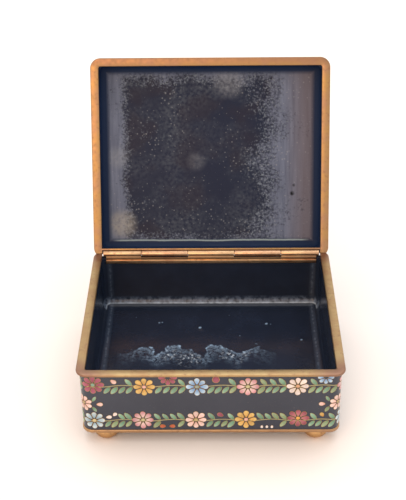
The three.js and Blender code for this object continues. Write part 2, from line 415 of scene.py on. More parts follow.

# %% [markdown]
# ## Counter-enamel inside the tray
#
# Copper is enamelled on both faces, or it would bend as it cools. The inside coat is plain
# midnight blue and was never ground, so it is uneven and glossy. A white haze is painted in
# the coves, partly dirt and partly painted reflection, and near the front a dried crust lies in
# waves. A painted highlight runs along the back cove, and painted glints sit on the pimples.

# %% The tray's lining
SIDE_COVE = 50  # where the haze lies along the sides, from the middle
SCALLOP = 18.5  # width of one wave of the crust
CRUST_MIDDLE = -7
PIMPLES = [  # x, y, radius and height in millimetres
    (-25.3, 28.3, 0.9, 0.35), (-23.9, 28.5, 0.7, 0.3), (-5.1, 24.0, 1.3, 0.5),
    (27.3, 27.1, 1.2, 0.45), (29.2, 26.9, 0.6, 0.25), (43.6, 14.1, 1.0, 0.35),
    (-37.0, 33.0, 0.5, 0.15), (9.0, 34.5, 0.5, 0.15), (14.0, 17.5, 0.6, 0.2),
    (-12.0, -18.0, 0.9, 0.3), (22.0, -27.0, 0.8, 0.3),
]


def tray_lining():
    material, node, closed = new_material("midnight_counter_enamel", "box")
    x, y, z = node("SeparateXYZ", closed).outputs
    cloud = node(NOISE, closed, 1 / 11, 4)
    broken = node(NOISE, closed, 1 / 2.2, 5)
    glaze = node(MIX, cloud, "#121927", "#20293b")

    # Dirt haze and painted reflection in the cove under the back wall: a crisp lower edge,
    # broken upwards.
    crisp = node(RANGE, z, 5.1, 5.3)
    patchy = node(RANGE, broken, 0.36, 0.7)
    band = node(TIMES, node(RANGE, y, 37.5, 39), crisp)
    band_up = node(TIMES, band, node(RANGE, z, 5.4, 9.0, 0.85, 0))
    half_patchy = node(TIMES_PLUS, patchy, 0.45, 0.4)
    back_haze_and_reflection = node(TIMES, band_up, node(TIMES_PLUS, patchy, 0.8, 0.08))

    # Dirt haze and painted reflection along both side coves.
    nearness = node(MINUS, node(ABS, x), SIDE_COVE)
    strip = node(RANGE, node(ABS, nearness), 0.1, 1.6, 0.24, 0)
    side_haze_and_reflection = node(TIMES, strip, half_patchy)

    # A painted highlight: a thin bright line where the cove meets the floor at the back.
    cove_highlight_line = node(TIMES, band, node(RANGE, z, 5.5, 5.8, 0.7, 0))
    broken_cove_highlight = node(TIMES, cove_highlight_line, half_patchy)

    # The crust dried in scallops: an outline with cusps, and a thinner film in front of it.
    lumps = node(NOISE, closed, 1 / 6, 2)
    phase = node(TIMES_PLUS, node(TIMES_PLUS, cloud, 16, x), math.pi / SCALLOP, 1.1)
    scallop = node(ABS, node("Math.COSINE", phase))
    wander = node(TIMES_PLUS, lumps, 14, node(TIMES_PLUS, scallop, 7.0, -3.0))
    ahead = node(MINUS, wander, y)
    behind_line = node(RANGE, ahead, 1.2, 2.4)
    outline = node(RANGE, ahead, 2.2, 5.4, 1, 0)
    film = node(RANGE, ahead, 3, 15, 0.55, 0)
    grains = node(NOISE, closed, 1 / 1.5, 6)
    grainy_line = node(TIMES, outline, node(RANGE, grains, 0.43, 0.6))
    lumpy_line = node(TIMES, grainy_line, node(RANGE, lumps, 0.38, 0.55))
    dusting = node(NOISE, noise_type="FBM", named={
        "Vector": closed, "Scale": 1 / 2, "Detail": 8, "Roughness": 0.7, "Distortion": 0.6
    })
    thin_film = node(TIMES, film, node(RANGE, dusting, 0.44, 0.68))
    one_side = node(TIMES, node(MOST, lumpy_line, thin_film), behind_line)
    off_centre = node(ABS, node(MINUS, x, CRUST_MIDDLE))
    reached = node(TIMES, one_side, node(RANGE, off_centre, 25, 38, 1, 0))
    crust = node(TIMES, reached, node(RANGE, z, 6, 5))

    # The salts are whitest in three places.
    whitest = None
    for *middle, radius in ((-10.5, 0, 7), (11, 4, 9), (-20, 4, 6)):
        away = node(DISTANCE, closed, (*middle, FLOOR))
        thick = node(RANGE, away, 1, radius, 0.9, 0)
        whitest = thick if whitest is None else node(MOST, whitest, thick)
    sparkling = node(TIMES, whitest, node(RANGE, grains, 0.55, 0.66, 0, 0.9))
    salts = node(TIMES, sparkling, behind_line)

    # A painted glint near the top of each pimple, as a small pale spot.
    for centre_x, centre_y, radius, height in PIMPLES:
        glint_place = (centre_x - radius / 3, centre_y, FLOOR + height)
        away = node(DISTANCE, closed, glint_place)
        painted_glint = node(RANGE, away, radius * 0.2, radius * 0.75, 1.7 * height, 0)
        crust = node(MOST, crust, painted_glint)

    haze_and_reflection = node(MOST, back_haze_and_reflection, side_haze_and_reflection)
    lined = node(MIX, broken_cove_highlight, node(MIX, haze_and_reflection, glaze, "#8c9db5"), "#c3ced8")
    # The crust's mask also holds the painted glints on the pimples, so they take its pale blue.
    whitened = node(MIX, salts, node(MIX, crust, lined, "#9cb9d4"), "#d3dde6")
    roughness = node(RANGE, node(MOST, haze_and_reflection, crust), 0, 1, 0.22, 0.6)
    bump = node("Bump", named={"Strength": 0.5, "Distance": 0.12 * MM, "Height": broken})
    surface(node, bump, {
        "Base Color": whitened, "Roughness": roughness, "IOR": 1.52, "Specular IOR Level": 0.4
    })
    return material


lining_of_tray = tray_lining()

# %% [markdown]
# ## Counter-enamel inside the lid
#
# The lid's lining shows most, because it faces whoever opens the box. Its coves are still
# blue. The flat panel has been rubbed and has weathered: the middle stays dark with pale
# specks about a millimetre wide, the right third is worn grey with a grainy edge and
# upright streaks, and a narrow strip on the left is grey as well.

# %% The lid's lining
PANEL_X, PANEL_Y = 50.4, 41.4  # half of the flat panel


def lid_lining():
    material, node, closed = new_material("weathered_counter_enamel", "lid")
    x, y = node("SeparateXYZ", closed).outputs[:2]
    cloud = node(NOISE, closed, 1 / 16, 5)
    specks = node(NOISE, closed, 1 / 1.5, 3)
    upright = node("Mapping", named={"Vector": closed, "Scale": (1, 0.07, 1)})
    streaks = node(NOISE, upright, 1 / 1.6, 3)

    # How worn each place is: up to the right, and in strips on the left and at the front.
    right = node(RANGE, x, 14, 40)
    left = node(RANGE, x, -37, -45)
    front = node(RANGE, y, -31, -41, 0, 0.75)
    ends = node(MOST, front, node(RANGE, y, 35, 41, 0, 0.55))
    most = node(MOST, node(MOST, right, left), ends)
    grain = node(TIMES_PLUS, specks, 1.0, node(TIMES_PLUS, cloud, 1.1, most))
    worn = node(RANGE, grain, 1.36, 1.88)

    # Colours of the sound glaze, with a veil and a warm tinge, and of the worn surface.
    sound = node(MIX, cloud, "#111830", "#1d2638")
    brownish = node(RANGE, x, 36, 46, 0, 0.7)
    browned = node(MIX, brownish, node(MIX, streaks, "#3a4052", "#787f92"), "#665c60")
    misty = node(RANGE, node(NOISE, closed, 1 / 24, 3), 0.42, 0.62)
    veil = node(TIMES, node(RANGE, specks, 0.35, 0.8, 0, 0.55), misty)
    warmth = node(RANGE, node(NOISE, closed, 1 / 20, 2), 0.5, 0.62, 0, 0.5)
    tinged = node(MIX, warmth, node(MIX, veil, sound, "#5a6068"), "#231f2c")
    panel = node(MIX, worn, tinged, browned)

    # Where sound and worn glaze meet, the surface is salt and pepper.
    edge_zone = node(RANGE, grain, 1.6, 1.98, 1, 0)
    edge = node(TIMES, node(RANGE, grain, 1.22, 1.48, 0, 0.5), edge_zone)
    fine = node(NOISE, closed, 1 / 0.85, 2)
    salt = node(RANGE, fine, 0.54, 0.64)
    pepper = node(RANGE, fine, 0.46, 0.38)
    salted = node(MIX, node(TIMES, salt, edge), panel, "#7d868e")
    peppered = node(MIX, node(TIMES, pepper, edge), salted, "#14161d")

    # Single stains: where, how wide in millimetres, how strong and what colour.
    stained = peppered
    for *middle, wide, strength, shade in (
        (-44, 33, 9, 0.55, "#98938a"), (9, -37, 10, 0.4, "#7c7f86"),
        (40.2, 18, 1.6, 0.9, "#121418"), (41, 14, 1.0, 0.8, "#1b1d22"),
        (-46, 0, 7, 0.3, "#8f9296"), (-7, 2, 6, 0.17, "#84868b"),
    ):
        away = node(DISTANCE, closed, (*middle, LID_TOP - LID_ROOF))
        fade = (wide * 0.3, wide, strength, 0)
        amount = node(RANGE, away, *fade, interpolation_type="SMOOTHSTEP")
        broken = node(TIMES, node(TIMES, amount, specks), 1.9)
        stained = node(MIX, broken, stained, shade)

    # Grey dots, a little under two millimetres apart.
    dot_size = node(RANGE, cloud, 0.4, 0.65, 0.12, 0.27)
    within = node(MINUS, dot_size, node("TexVoronoi", closed, 1 / 1.9))
    speckled = node(MIX, node(RANGE, within, 0, 0.1, 0, 0.4), stained, "#8d8f92")

    # The coves keep their blue: beyond the flat panel on every side.
    across = node(ABS, x)
    over_y = node(MINUS, node(ABS, y), PANEL_Y)
    over = node(MOST, node(MINUS, across, PANEL_X), over_y)
    whole = node(MIX, node(RANGE, over, -1.5, 0.6), speckled, "#142440")

    # A painted highlight: a bright line where the panel meets the cove beside the hinge.
    off_edge = node(MINUS, node(TIMES_PLUS, cloud, 1.2, y), PANEL_Y + 0.5)
    edge_highlight_across = node(RANGE, node(ABS, off_edge), 0.15, 0.5, 0.7, 0)
    panel_edge_highlight = node(TIMES, edge_highlight_across, node(RANGE, across, 45, 49, 1, 0))
    final = node(MIX, panel_edge_highlight, whole, "#9fb0b0")
    roughness = node(RANGE, worn, 0, 1, 0.3, 0.55)
    bump = node("Bump", named={"Strength": 0.5, "Distance": 0.06 * MM, "Height": specks})
    surface(node, bump, {
        "Base Color": final, "Roughness": roughness, "IOR": 1.5, "Specular IOR Level": 0.14
    })
    return material


lining_of_lid = lid_lining()

# %% [markdown]
# ## Worn brass
#
# The rims and the hinge are rolled brass, soldered on and once gilded. Hands have rubbed
# the gilding thin, so the colour wanders between yellow brass and copper, and the corners
# that nobody polishes have gone pinkish brown. Brass is a metal: its colour sits in Base
# Color with Metallic at 1, and wear changes the roughness.

# %% Brass in several states
CREVICE = axis_z - 1.4  # height of the line under the knuckles, painted darker for dirt and for painted shade


def worn_brass(name, body, clean, rubbed, patina, corner_patina=0.0, crevice_dirt_and_shade=0.0, handled=0.0):
    """The last three say how strong the patina is at the corners, the dirt and painted shade in
    the hinge's crevice and the dullness along the edge that hands hold."""
    material, node, closed = new_material(name, body)
    x, y, z = node("SeparateXYZ", closed).outputs
    spread = node(RANGE, node(NOISE, closed, 1 / 8, 5), 0.4, 0.66)
    far_out = node(ABS, node(TIMES, x, y))  # large only in the corners
    fine = node(NOISE, closed, 1 / 1.6, 4)
    stained = node(RANGE, fine, 0.56, 0.72, 0, 0.55)
    dirt = node(MOST, node(RANGE, far_out, 1900, 2450, 0, corner_patina), stained)
    dull = node(MOST, dirt, node(RANGE, y, -44, -47, 0, handled))
    aged = node(MIX, dull, node(MIX, spread, clean, rubbed), patina)
    # Dirt and painted shade in the crevice under the knuckles: a dark brown band round this
    # height.
    from_crevice = node(ABS, node(MINUS, z, CREVICE))
    grimy_and_shaded = node(MIX, node(RANGE, from_crevice, 0.5, 1.0, crevice_dirt_and_shade, 0), aged, "#6b472c")
    roughness = node(RANGE, fine, 0.3, 0.7, 0.3, 0.5)
    bump = node("Bump", named={"Strength": 0.4, "Distance": 0.04 * MM, "Height": fine})
    surface(node, bump, {"Base Color": grimy_and_shaded, "Metallic": 1.0, "Roughness": roughness})
    return material


body_rim_brass = worn_brass(
    "rolled_brass_body_rim", "box", "#b0966c", "#a68560", "#8a6658", corner_patina=0.8
)
lid_rim_brass = worn_brass(
    "rolled_brass_lid_rim", "lid", "#a98455", "#a17c5e", "#866452", handled=0.6
)
band_brass = worn_brass("rolled_brass_band", "box", "#b8936c", "#ab8768", "#876856")
foot_brass = worn_brass("cast_brass_feet", "box", "#c29a6a", "#b0875e", "#846652")
body_hinge_brass = worn_brass(
    "drawn_brass_body_hinge", "box", "#dcb78c", "#c99d78", "#987460", crevice_dirt_and_shade=0.65
)
lid_hinge_brass = worn_brass("drawn_brass_lid_hinge", "lid", "#dcb28c", "#cb9c78", "#9c7660")
print("brass finishes:", 6)

# %% [markdown]
# ## The tray
#
# A potter's order: the underside, the straight wall, the flat top of the wall, down the
# inside, the cove and the floor. The faces inside take the lining's material. The floor is
# then cut into a fine grid, because fired enamel is never flat: a slow ripple and a few
# pimples, where a grain didn't melt, catch the light.

# %% Raise the tray's walls
GROUND = 0.1  # the ground lies this far below the tops of the cells
LET_IN = 0.8  # the band sits in a step of this depth
COVE_STEPS = 8

tray = bmesh.new()
level = rounded_face(
    tray, WALL_ACROSS - 2 * LET_IN, WALL_ALONG - 2 * LET_IN, WALL_CORNER - LET_IN, 0
)
bottom = (span(level, 0), span(level, 1))
outside = (WALL_ACROSS - 2 * GROUND, WALL_ALONG - 2 * GROUND)
inside = (WALL_ACROSS - 2 * WALL, WALL_ALONG - 2 * WALL)
for size, height in ((bottom, BAND_TOP), (outside, BAND_TOP), (outside, BODY_RIM_BOTTOM)):
    level = raised(tray, level, *size, height)
level = raised(tray, level, *inside, BODY_RIM_BOTTOM, INSIDE_CORNER)
outer_faces = set(tray.faces) - {level}
print("outside drawn with", len(outer_faces), "faces")

# %% Down the inside and round the cove
STEP = 8
cove_top = FLOOR + FLOOR_COVE
for height in (BODY_RIM_BOTTOM - STEP, BODY_RIM_BOTTOM - 2 * STEP, cove_top):
    level = raised(tray, level, *inside, height)
level = rounded_in(tray, level, *inside, cove_top, FLOOR_COVE, COVE_STEPS, -1)

# %% Cut the floor into a grid
CELL = 1.25
floor_parts = [level, *level.edges, *level.verts]
for size, direction in zip(inside, (Vector((1, 0, 0)), Vector((0, 1, 0)))):
    count = int((size / 2 - FLOOR_COVE) / CELL)
    for step in range(-count, count + 1):
        floor_parts = bmesh.ops.bisect_plane(
            tray, geom=floor_parts, dist=1e-5, plane_co=direction * CELL * step,
            plane_no=direction,
        )["geom"]
floor_faces = only("Face", floor_parts)
print("the floor has", len(floor_faces), "faces")

# %% Ripple and pimples in the glaze
SLOW_RIPPLE = 0.12  # height of the long waves
FINE_RIPPLE = 0.03
STILL_EDGE = 3  # the ripple fades out over this distance from the cove
half_across, half_along = (size / 2 - FLOOR_COVE for size in inside)
for corner in {corner for face in floor_faces for corner in face.verts}:
    x, y, z = corner.co
    inland = min(half_across - abs(x), half_along - abs(y))
    ripple = noise.noise(Vector((x / 16, y / 13, 3.1))) * SLOW_RIPPLE
    ripple += noise.noise(Vector((x / 5, y / 4, 8.2))) * FINE_RIPPLE
    rise = ripple * min(max(inland / STILL_EDGE, 0), 1)
    for centre_x, centre_y, radius, height in PIMPLES:
        away = math.hypot(x - centre_x, y - centre_y) / radius
        rise += height * math.exp(-away * away)
    corner.co.z = z + rise


# %% Finish a shell: two enamels, a slanted back edge and a slot for the hinge
def shell(name, shape, outer, materials, side, body, solid):
    """side is -1 for the tray and 1 for the lid."""
    for face in shape.faces:
        face.material_index = 0 if face in outer else 1
    cut_back_edge(shape, side)
    room = (WALL, KNUCKLE + TURNING_ROOM)
    below, above = room if side == 1 else room[::-1]
    mesh = carved(
        as_mesh(shape, *materials),
        (-SLOT_HALF, axis_y - WALL, axis_z - below), (SLOT_HALF, axis_y + WALL, axis_z + above),
    )
    piece(name, mesh, body, [solid])


tray_enamels = (ground_on_body, lining_of_tray)
shell("tray_enamel", tray, outer_faces, tray_enamels, -1, "box", "body_shell")

# %% [markdown]
# ## The lid's shell
#
# The lid is the same work turned over: a low wall, a rounded shoulder and a flat top
# outside, and a shallow cove inside.

# %% Raise the lid's outside
SHOULDER_STEPS = 12
lid = bmesh.new()
open_face = rounded_face(lid, *outside, WALL_CORNER - GROUND, LID_RIM_TOP)
shoulder_bottom = LID_TOP - LID_SHOULDER
level = raised(lid, open_face, *outside, shoulder_bottom)
rounded_in(lid, level, *outside, shoulder_bottom, LID_SHOULDER - GROUND, SHOULDER_STEPS, 1)
outer_faces = set(lid.faces)

# %% Hollow it from below
cove_start = LID_TOP - LID_ROOF - LID_COVE
level = raised(lid, open_face, *inside, LID_RIM_TOP, INSIDE_CORNER)
level = raised(lid, level, *inside, (LID_RIM_TOP + cove_start) / 2)
level = raised(lid, level, *inside, cove_start)
rounded_in(lid, level, *inside, cove_start, LID_COVE, COVE_STEPS, 1)
lid_enamels = (ground_on_lid, lining_of_lid)
shell("lid_enamel", lid, outer_faces, lid_enamels, 1, "lid", "lid_shell")

# %% [markdown]
# ## Rims and base band
#
# Each rim is a strip of brass bent round the opening and filed flat. Both are open along
# the back, where the hinge takes their place. They start as a flat ring, gain a thickness
# and lose the back. Every edge is rounded a little, because edges that hands touch are
# never sharp.

# %% A rim without its back
RIM_ROUNDING = 0.4


def open_rim(side, low, high):
    rim = ring(RIM_ACROSS, RIM_ALONG, RIM_CORNER, RIM_WIDTH, low, high, RIM_ROUNDING)
    behind = RIM_ALONG / 2 - RIM_CORNER - 0.05  # just in front of the straight back
    for place in (-SLOT_HALF, SLOT_HALF):
        near = [face for face in rim.faces if face.calc_center_median().y > behind - 1]
        parts = {part for face in near for part in (face, *face.edges, *face.verts)}
        bmesh.ops.bisect_plane(
            rim, geom=list(parts), dist=1e-4, plane_co=(place, 0, 0), plane_no=(1, 0, 0)
        )
    back = [
        face for face in rim.faces
        if abs(face.calc_center_median().x) < SLOT_HALF - 1e-3
        and face.calc_center_median().y > behind
    ]
    bmesh.ops.delete(rim, geom=back, context="FACES")
    bmesh.ops.holes_fill(rim, edges=[e for e in rim.edges if e.is_boundary], sides=0)
    cut_back_edge(rim, side)
    return rim


# %% The tray's rim, and the lid's with the thin lip that runs in front of the hinge
tray_rim = joined([open_rim(-1, BODY_RIM_BOTTOM, BODY_RIM_TOP)], body_rim_brass)
piece("tray_rim", tray_rim, "box", ["body_rim"])

LIP_ENDS = SLOT_HALF + 0.5  # let into the rim's sides
lip = block(
    (-LIP_ENDS, axis_y - LIP_REACH, LID_RIM_BOTTOM),
    (LIP_ENDS, axis_y - KNUCKLE - MEET_GAP, LID_RIM_TOP),
)
round_edges(lip, 0.2)
lid_rim = joined([open_rim(1, LID_RIM_BOTTOM, LID_RIM_TOP), lip], lid_rim_brass)
piece("lid_rim_brass", lid_rim, "lid", ["lid_rim"])

# %% The band round the bottom edge
BAND_CORNER = WALL_CORNER + 0.3
BAND_ROUNDING = 0.35
band_width = LET_IN + (BAND_ACROSS - WALL_ACROSS) / 2
band = ring(BAND_ACROSS, BAND_ALONG, BAND_CORNER, band_width, 0, BAND_TOP, BAND_ROUNDING)
piece("bottom_band", joined([band], band_brass), "box", ["base_band"])

# %% [markdown]
# ## Bun feet
#
# A bun foot is a cast brass ball, flattened, with its top and bottom filed off. A sphere
# squeezed in height and cut by two planes is the same thing.

# %% Four feet
FOOT_RADIUS = 5.6
FOOT_HALF_HEIGHT = 4.0
FOOT_MIDDLE = -2.0  # below the underside
foot_bottom = (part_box("foot_front_left")[0].z - underside.z) / MM
for corner in ("front_left", "front_right", "back_left", "back_right"):
    low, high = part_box("foot_" + corner)
    centre = ((low + high) / 2 - underside) / MM
    foot = bmesh.new()
    bmesh.ops.create_uvsphere(foot, u_segments=40, v_segments=20, radius=FOOT_RADIUS)
    bmesh.ops.scale(foot, vec=(1, 1, FOOT_HALF_HEIGHT / FOOT_RADIUS), verts=foot.verts)
    bmesh.ops.translate(foot, vec=(centre.x, centre.y, FOOT_MIDDLE), verts=foot.verts)
    slice_off(foot, (0, 0, 0), (0, 0, 1))
    slice_off(foot, (0, 0, foot_bottom), (0, 0, -1))
    piece("bun_" + corner, as_mesh(foot, foot_brass), "box", ["foot_" + corner])

# %% [markdown]
# ## The hinge
#
# Five knuckles of brass tube turn on one wire. The first, third and fifth are soldered to a
# strip inside the tray's back wall, and the other two to a leaf let into the lid. Each tube
# is a short cylinder laid along X with its ends just broken, and each leaf is a bar whose
# outline is drawn round the axis and pulled along X.

# %% Tubes and bars along the hinge
def tube(start, end, radius, rounding=0.12):
    shape = bmesh.new()
    bmesh.ops.create_cone(
        shape, cap_ends=True, segments=40, radius1=radius, radius2=radius, depth=end - start
    )
    bmesh.ops.rotate(shape, matrix=Matrix.Rotation(math.pi / 2, 3, "Y"), verts=shape.verts)
    bmesh.ops.translate(shape, vec=((start + end) / 2, axis_y, axis_z), verts=shape.verts)
    round_edges(shape, rounding, segments=2)
    return shape


def bar(side, start, end, outline, rounding=0.1):
    """Each point of the outline is so far behind the axis, and so far up, or down where
    side is -1."""
    shape = bmesh.new()
    shape.faces.new([
        shape.verts.new((start, axis_y + back, axis_z + side * away)) for back, away in outline
    ])
    thicken(shape, (end - start, 0, 0))
    round_edges(shape, rounding, segments=2)
    return shape


# %% Where the knuckles begin and end
HINGE_HALF = size_of("hinge_pin").x / 2
LEAF_HALF = size_of("hinge_lid_leaf").x / 2
JOINTS = (-34.2, -11.4, 11.4, 34.2)
GAP = 0.25  # between two knuckles
starts = [-HINGE_HALF] + [place + GAP / 2 for place in JOINTS]
ends = [place - GAP / 2 for place in JOINTS] + [HINGE_HALF]
knuckles = list(zip(starts, ends))
print("knuckles:", [f"{start:.1f} to {end:.1f}" for start, end in knuckles])

# %% The two halves and the wire
WIRE_RADIUS = 0.65
STRIP = [  # each outline's points, behind the axis and away from it
    (-LIP_REACH, 2.6), (-LIP_REACH, 4.3), (-1.2, 4.3), (-1.2, 1.85),
    (-1.5, 1.85), (-1.5, 1.2), (-1.9, 1.2), (-1.9, 2.6),
]
TAB = [(-0.6, 0.8), (-0.6, 2.9), (-1.95, 2.9), (-1.95, 1.6), (-1.15, 0.8)]
LEAF = [(-1.4, 1.8), (-1.4, 3.8), (-0.6, 3.8), (-0.6, 1.8)]
LID_TAB = [(-0.6, 0.8), (-0.6, 2.1), (-1.38, 2.1), (-1.15, 0.8)]


def hinge_half(side, outline, rounding, tab, own):
    parts = [bar(side, -LEAF_HALF, LEAF_HALF, outline, rounding)]
    for start, end in own:
        parts.append(tube(start, end, KNUCKLE))
        parts.append(bar(side, max(start, -LEAF_HALF), min(end, LEAF_HALF), tab))
    return parts


body_half = joined(hinge_half(-1, STRIP, 0.2, TAB, knuckles[0::2]), body_hinge_brass)
piece("hinge_of_body", body_half, "box", ["hinge_body_leaf"])
lid_half = joined(hinge_half(1, LEAF, 0.1, LID_TAB, knuckles[1::2]), lid_hinge_brass)
piece("hinge_of_lid", lid_half, "lid", ["hinge_lid_leaf"])
wire = joined([tube(-HINGE_HALF, HINGE_HALF, WIRE_RADIUS, rounding=0.2)], body_hinge_brass)
piece("hinge_wire", wire, "box", ["hinge_pin"])

# %% [markdown]
# ## The garland, cell by cell
#
# A cloison is a cell: a flat gilt wire stands on edge round each petal and leaf, and glass
# fills it. Each kind of cell is drawn once, flat, as a die: a little tablet of metal, and a
# slightly smaller and slightly higher tablet of glass. Stamping means copying a die, turning
# it, sliding it along the wall, and bending it round the corners. The wire is what shows of
# the metal tablet round the glass.

# %% Dies, pointing along X from where they grow
METAL_TOP = -0.03  # below the finished surface
GLASS_TOP = 0.0
TABLET_BOTTOM = -GROUND - 0.02
WIRE = 0.13  # thicker than the real 0.1 mm, so that it shows


def tablet(shape, top):
    bmesh.ops.translate(shape, vec=(0, 0, TABLET_BOTTOM), verts=shape.verts)
    thicken(shape, (0, 0, top - TABLET_BOTTOM))
    return shape


def die(segments, middle, ahead, behind, half_width, pointed, narrowed):
    """A unit circle moved along to the middle, stretched ahead of it and behind it, drawn
    out to points and narrowed towards its root."""
    metal = bmesh.new()
    bmesh.ops.create_circle(metal, cap_ends=True, segments=segments, radius=1)
    for corner in metal.verts:
        x, y = corner.co.xy
        corner.co.x = middle + (ahead if x > 0 else behind) * x
        corner.co.y = half_width * y * abs(y) ** pointed * (1 + narrowed * min(x, 0))
    glass = metal.copy()
    glass.faces.ensure_lookup_table()
    bmesh.ops.delete(glass, geom=inset(glass, glass.faces[0], WIRE), context="FACES")
    return tablet(metal, METAL_TOP), tablet(glass, GLASS_TOP)


DIES = {  # segments, middle, ahead, behind, half width, points, narrowing
    "petal": die(14, 3.45, 1.35, 2.35, 1.22, 0, 0.5),
    "leaf": die(12, 2.35, 2.35, 2.35, 1.12, 0.3, 0),
    "bud": die(12, 1.7, 1.3, 1.7, 1.15, 0, 0.3),
    "disc": die(12, 0, 0.95, 0.95, 0.95, 0, 0),
}
print("one petal has", len(DIES["petal"][1].faces), "faces")

# %% From a strip of paper to the wall
HALF_FRONT = WALL_ACROSS / 2 - WALL_CORNER
SIDE = WALL_ALONG - 2 * WALL_CORNER
ARC = WALL_CORNER * math.pi / 2
AROUND = 4 * HALF_FRONT + 2 * SIDE + 4 * ARC


def on_plan(s, out):
    """s runs round the box from the middle of the front, rightwards; out is outwards."""
    s = (s + AROUND / 2) % AROUND - AROUND / 2
    side, s = math.copysign(1, s), abs(s)
    half_way = HALF_FRONT + ARC + SIDE / 2
    end = -1 if s < half_way else 1
    past = (s if end < 0 else 2 * half_way - s) - HALF_FRONT
    turn = min(max(past / WALL_CORNER, 0), math.pi / 2)
    reach = WALL_CORNER + out
    x = HALF_FRONT + min(past, 0) + reach * math.sin(turn)
    y = SIDE / 2 - max(past - ARC, 0) + reach * math.cos(turn)
    return side * x, end * y


def on_body_wall(s, up, out):
    return (*on_plan(s, out), up)


def on_lid_wall(s, up, out):
    """up is measured over the wall from the rim, and over the shoulder after it."""
    straight = shoulder_bottom - LID_RIM_TOP
    turn = max(up - straight, 0) / LID_SHOULDER
    inwards = LID_SHOULDER * (1 - math.cos(turn))
    height = LID_RIM_TOP + min(up, straight) + LID_SHOULDER * math.sin(turn)
    x, y = on_plan(s, out * math.cos(turn) - inwards)
    return x, y, height + out * math.sin(turn)


def on_lid_top(x, y, out):
    return x, y, LID_TOP + out


def up_lid_top(s, up, out):
    """The lid's top again, with the strip of paper turned a quarter."""
    return on_lid_top(-up, s, out)


print(f"{AROUND:.1f} mm round the walls, with {ARC:.1f} mm in each corner")

# %% Cut a flat shape finely where it has to bend
BEND_STEP = 0.55
CORNERS = [HALF_FRONT + ARC / 2, HALF_FRONT + 1.5 * ARC + SIDE]
CORNERS += [-place for place in CORNERS]


def bends(low, high):
    """Whether what lies between low and high reaches a rounded corner."""
    return any(
        high > place + turn - ARC / 2 and low < place + turn + ARC / 2
        for place in CORNERS for turn in (-AROUND, 0, AROUND)
    )


def cut_finely(shape, axis):
    low, high = extent(shape, axis)
    direction = Vector((1 - axis, axis, 0))
    count = int((high - low) / BEND_STEP)
    for step in range(1, count + 1):
        place = low + (high - low) * step / (count + 1)
        bmesh.ops.bisect_plane(
            shape, geom=everything(shape), dist=1e-4, plane_co=direction * place,
            plane_no=direction,
        )


# %% The garlands grow as cells are stamped
PARTS = (("tray", "box"), ("lid", "lid"))  # and the body that each rides on
LAYERS = ("cells", "wires")
garlands = {part + layer: (bmesh.new(), []) for part, body in PARTS for layer in LAYERS}


def take(shape, colours, layer, wall):
    """Adds a shape to the cells or the wires, with a colour for each corner."""
    whole, taken = garlands[("tray" if wall is on_body_wall else "lid") + layer]
    taken.extend(colours)
    absorb(whole, shape)


# %% Stamp a die
GILT = linear("#c9a25a")
FADE = 1.5  # above 1, the near shade reaches further than the far one


def stamp(kind, shades, place, turn, size, wall):
    """The shades are the glass's colours at the near end of the die and at the far end."""
    matrix = (
        Matrix.Translation((*place, 0)) @ Matrix.Rotation(turn, 4, "Z")
        @ Matrix.Diagonal((size, size, 1, 1))
    )
    back = matrix.inverted()
    metal, glass = (shape.copy() for shape in DIES[kind])
    reach = extent(glass, 0)[1]
    for shape, layer, (near, far) in ((metal, "wires", (GILT, GILT)), (glass, "cells", shades)):
        shape.transform(matrix)
        if bends(*extent(shape, 0)):
            cut_finely(shape, 0)
        if wall is on_lid_wall:
            cut_finely(shape, 1)
        colours = []
        for corner in shape.verts:
            share = min(max((back @ corner.co).x / reach, 0), 1) ** FADE
            colours.append(tuple(a * (1 - share) + b * share for a, b in zip(near, far)))
            corner.co = wall(*corner.co)
        take(shape, colours, layer, wall)


# %% Glass colours, near the flower's heart and at the petal's tip
GLASS = {
    "red": ("#943e55", "#ae5f73"), "yellow": ("#cd9240", "#e4c377"),
    "blue": ("#3d82c2", "#c2dcee"), "pink": ("#f2ded2", "#cb8494"),
    "cream": ("#ecdac6", "#efe2e0"), "sky": ("#5e93ae", "#d6e4e6"),
    "rose": ("#e7b3a8", "#f3d9d0"), "wine": ("#cc8684", "#943e57"),
    "white": ("#e9d8cf", "#f1ece8"), "orange": ("#b8553a", "#d0714a"),
    "leaf": ("#5f8b6d", "#9dc1a6"), "moss": ("#738f68", "#abba93"),
}
HEARTS = {
    "red": "#7a9a86", "yellow": "#d9a69a", "blue": "#8c9a90", "pink": "#b9b48a",
    "cream": "#c99a78", "sky": "#c8b98a", "rose": "#b5a070", "wine": "#dba24f",
}
STEM_GREEN = linear("#95a88c")

# %% Flowers, leaves and buds, with a little chance in their shades and sizes
dice = random.Random(7)
PETALS = 8
LOWER_HALF = (0, 4, 5, 6, 7)


def shaded(name):
    strength = dice.uniform(0.74, 0.96)
    return [(*(part * strength for part in linear(shade)[:3]), 1) for shade in GLASS[name]]


def flower(place, name, size=1.0, wall=on_body_wall, first=90, shown=range(PETALS)):
    """first is the way of the first petal, in degrees."""
    for number in shown:
        turn = math.radians(first) + 2 * math.pi * number / PETALS
        stamp("petal", shaded(name), place, turn, size * dice.uniform(0.95, 1.04), wall)
    if len(shown) == PETALS:
        stamp("disc", [linear(HEARTS[name])] * 2, place, 0, size, wall)


def leaf(place, lean, size=1.0, wall=on_body_wall):
    shades = shaded(dice.choice(["leaf", "leaf", "leaf", "moss"]))
    stamp("leaf", shades, place, math.radians(lean), size * dice.uniform(0.88, 1.05), wall)


def bud(place, lean, name, size=1.0):
    stamp("bud", shaded(name), place, math.radians(lean), size, on_body_wall)


